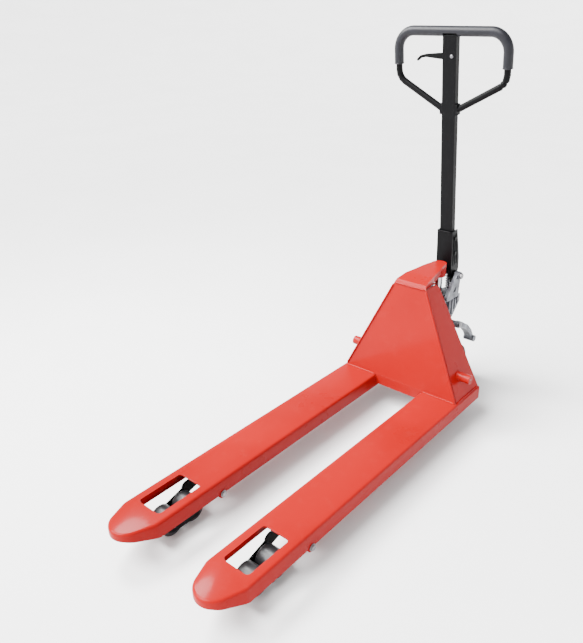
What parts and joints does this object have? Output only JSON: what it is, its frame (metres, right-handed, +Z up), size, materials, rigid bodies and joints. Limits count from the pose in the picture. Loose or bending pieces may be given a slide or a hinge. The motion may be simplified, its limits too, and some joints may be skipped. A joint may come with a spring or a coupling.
{
  "type": "pallet jack",
  "caption": "Hand pallet jack with long load forks, tandem rollers on swinging knees, a steered hydraulic pump and a looped pumping handle.",
  "frame": {"origin": "on the floor, under the middle of the whole jack at rest", "axes": "+X towards the right-hand fork, +Y from the forks towards the handle, +Z up"},
  "size_m": [0.514, 1.587, 1.3519],
  "materials": {
    "red_paint": "gloss",
    "black_paint": "satin",
    "grip": "matt",
    "cast": "silver painted casting",
    "steel": "zinc plated",
    "chrome": "polished",
    "roller": "cast polyurethane",
    "tyre": "solid rubber"
  },
  "bodies": {
    "frame": {"fork_left": "red_paint", "fork_right": "red_paint", "heel_left": "red_paint", "heel_right": "red_paint", "front_plate": "red_paint", "side_plate_left": "red_paint", "side_plate_right": "red_paint", "head_plate": "red_paint", "head_gussets": "red_paint", "ram_seat": "red_paint", "ram": "chrome", "rocker_boss_left": "red_paint", "rocker_boss_right": "red_paint", "rocker_shaft": "steel", "knee_lugs": "red_paint", "knee_shafts": "steel", "shaft_rings": "steel", "knee_spacers": "steel", "fork_straps": "red_paint"},
    "carrier": {"carrier_ring": "red_paint", "thrust_bearing": "steel"},
    "pump": {"pump_base": "cast", "retaining_ring": "steel", "pump_body": "cast", "gland_nut": "steel", "reservoir": "cast", "filler_plug": "steel", "handle_pin": "steel", "wheel_axle": "steel", "axle_washers": "steel", "pedal_pin": "steel"},
    "wheel_left": {"tyre_left": "tyre", "hub_left": "cast"},
    "wheel_right": {"tyre_right": "tyre", "hub_right": "cast"},
    "piston": {"piston": "chrome", "piston_spring": "steel"},
    "pedal": {"pedal": "cast"},
    "handle": {"handle_yoke": "black_paint", "cam_roller": "steel", "small_pins": "steel", "drawbar": "black_paint", "drawbar_bolts": "steel", "grip_loop": "black_paint", "grip_cover": "grip"},
    "lever": {"control_lever": "black_paint"},
    "pull_rod": {"pull_rod": "steel"},
    "rocker": {"rocker": "red_paint", "rocker_pins": "steel"},
    "rod_left": {"push_rod_left": "steel"},
    "rod_right": {"push_rod_right": "steel"},
    "knee_left": {"knee_left": "black_paint"},
    "knee_right": {"knee_right": "black_paint"},
    "bogie_left": {"bogie_left": "black_paint"},
    "bogie_right": {"bogie_right": "black_paint"},
    "roller_left_front": {"roller_left_front": "roller"},
    "roller_left_rear": {"roller_left_rear": "roller"},
    "roller_right_front": {"roller_right_front": "roller"},
    "roller_right_rear": {"roller_right_rear": "roller"}
  },
  "joints": [
    {"name": "lift", "type": "slide", "parent": "frame", "child": "carrier", "axis": [0, 0, -1], "range_m": [-0.037, 0.078]},
    {"name": "steer", "type": "hinge", "parent": "carrier", "child": "pump", "pos_m": [0, 0.5975, 0.2], "axis": [0, 0, 1], "range_deg": [-80, 80]},
    {"name": "wheel_left_spin", "type": "hinge", "parent": "pump", "child": "wheel_left", "pos_m": [-0.055, 0.6535, 0.09], "axis": [1, 0, 0], "continuous": true},
    {"name": "wheel_right_spin", "type": "hinge", "parent": "pump", "child": "wheel_right", "pos_m": [0.055, 0.6535, 0.09], "axis": [1, 0, 0], "continuous": true},
    {"name": "handle_tilt", "type": "hinge", "parent": "pump", "child": "handle", "pos_m": [0, 0.6625, 0.472], "axis": [-1, 0, 0], "range_deg": [0, 85]},
    {"name": "piston_stroke", "type": "slide", "parent": "pump", "child": "piston", "axis": [0, 0, -1], "range_m": [0, 0.0404], "deforming": ["piston_spring"]},
    {"name": "pedal_press", "type": "hinge", "parent": "pump", "child": "pedal", "pos_m": [0.07, 0.6305, 0.284], "axis": [-1, 0, 0], "range_deg": [0, 12], "stiffness_Nm_per_rad": 8, "springref_deg": -11.46},
    {"name": "lever_swing", "type": "hinge", "parent": "handle", "child": "lever", "pos_m": [0.01, 0.56837, 1.26141], "axis": [0, 0.993, 0.1184], "range_deg": [-12, 12], "stiffness_Nm_per_rad": 6},
    {"name": "pull_rod_slide", "type": "slide", "parent": "handle", "child": "pull_rod", "axis": [0, -0.1184, 0.993], "range_m": [-0.0039, 0.0039]},
    {"name": "rocker_turn", "type": "hinge", "parent": "frame", "child": "rocker", "pos_m": [0, 0.4225, 0.194], "axis": [1, 0, 0], "range_deg": [-24.8, 11.8]},
    {"name": "rod_left_level", "type": "hinge", "parent": "rocker", "child": "rod_left", "pos_m": [-0.175, 0.42747, 0.15028], "axis": [1, 0, 0], "range_deg": [-11.8, 24.8]},
    {"name": "knee_left_turn", "type": "hinge", "parent": "frame", "child": "knee_left", "pos_m": [-0.175, -0.4625, 0.072], "axis": [1, 0, 0], "range_deg": [-19.4, 40.8]},
    {"name": "bogie_left_level", "type": "hinge", "parent": "knee_left", "child": "bogie_left", "pos_m": [-0.175, -0.58383, 0.038], "axis": [1, 0, 0], "range_deg": [-40.8, 19.4]},
    {"name": "roller_left_front_spin", "type": "hinge", "parent": "bogie_left", "child": "roller_left_front", "pos_m": [-0.175, -0.62383, 0.038], "axis": [1, 0, 0], "continuous": true},
    {"name": "roller_left_rear_spin", "type": "hinge", "parent": "bogie_left", "child": "roller_left_rear", "pos_m": [-0.175, -0.54383, 0.038], "axis": [1, 0, 0], "continuous": true},
    {"name": "rod_right_level", "type": "hinge", "parent": "rocker", "child": "rod_right", "pos_m": [0.175, 0.42747, 0.15028], "axis": [1, 0, 0], "range_deg": [-11.8, 24.8]},
    {"name": "knee_right_turn", "type": "hinge", "parent": "frame", "child": "knee_right", "pos_m": [0.175, -0.4625, 0.072], "axis": [1, 0, 0], "range_deg": [-19.4, 40.8]},
    {"name": "bogie_right_level", "type": "hinge", "parent": "knee_right", "child": "bogie_right", "pos_m": [0.175, -0.58383, 0.038], "axis": [1, 0, 0], "range_deg": [-40.8, 19.4]},
    {"name": "roller_right_front_spin", "type": "hinge", "parent": "bogie_right", "child": "roller_right_front", "pos_m": [0.175, -0.62383, 0.038], "axis": [1, 0, 0], "continuous": true},
    {"name": "roller_right_rear_spin", "type": "hinge", "parent": "bogie_right", "child": "roller_right_rear", "pos_m": [0.175, -0.54383, 0.038], "axis": [1, 0, 0], "continuous": true}
  ],
  "couplings": [
    {"joint": "rocker_turn", "follows": "lift", "rad_per_m": -5.521},
    {"joint": "piston_stroke", "follows": "handle_tilt", "m_per_rad": 0.0271},
    {"joint": "pull_rod_slide", "follows": "lever_swing", "m_per_rad": 0.018},
    {"joint": "rod_left_level", "follows": "lift", "rad_per_m": 5.521},
    {"joint": "knee_left_turn", "follows": "lift", "rad_per_m": 9.0757},
    {"joint": "bogie_left_level", "follows": "lift", "rad_per_m": -9.0757},
    {"joint": "rod_right_level", "follows": "lift", "rad_per_m": 5.521},
    {"joint": "knee_right_turn", "follows": "lift", "rad_per_m": 9.0757},
    {"joint": "bogie_right_level", "follows": "lift", "rad_per_m": -9.0757}
  ]
}
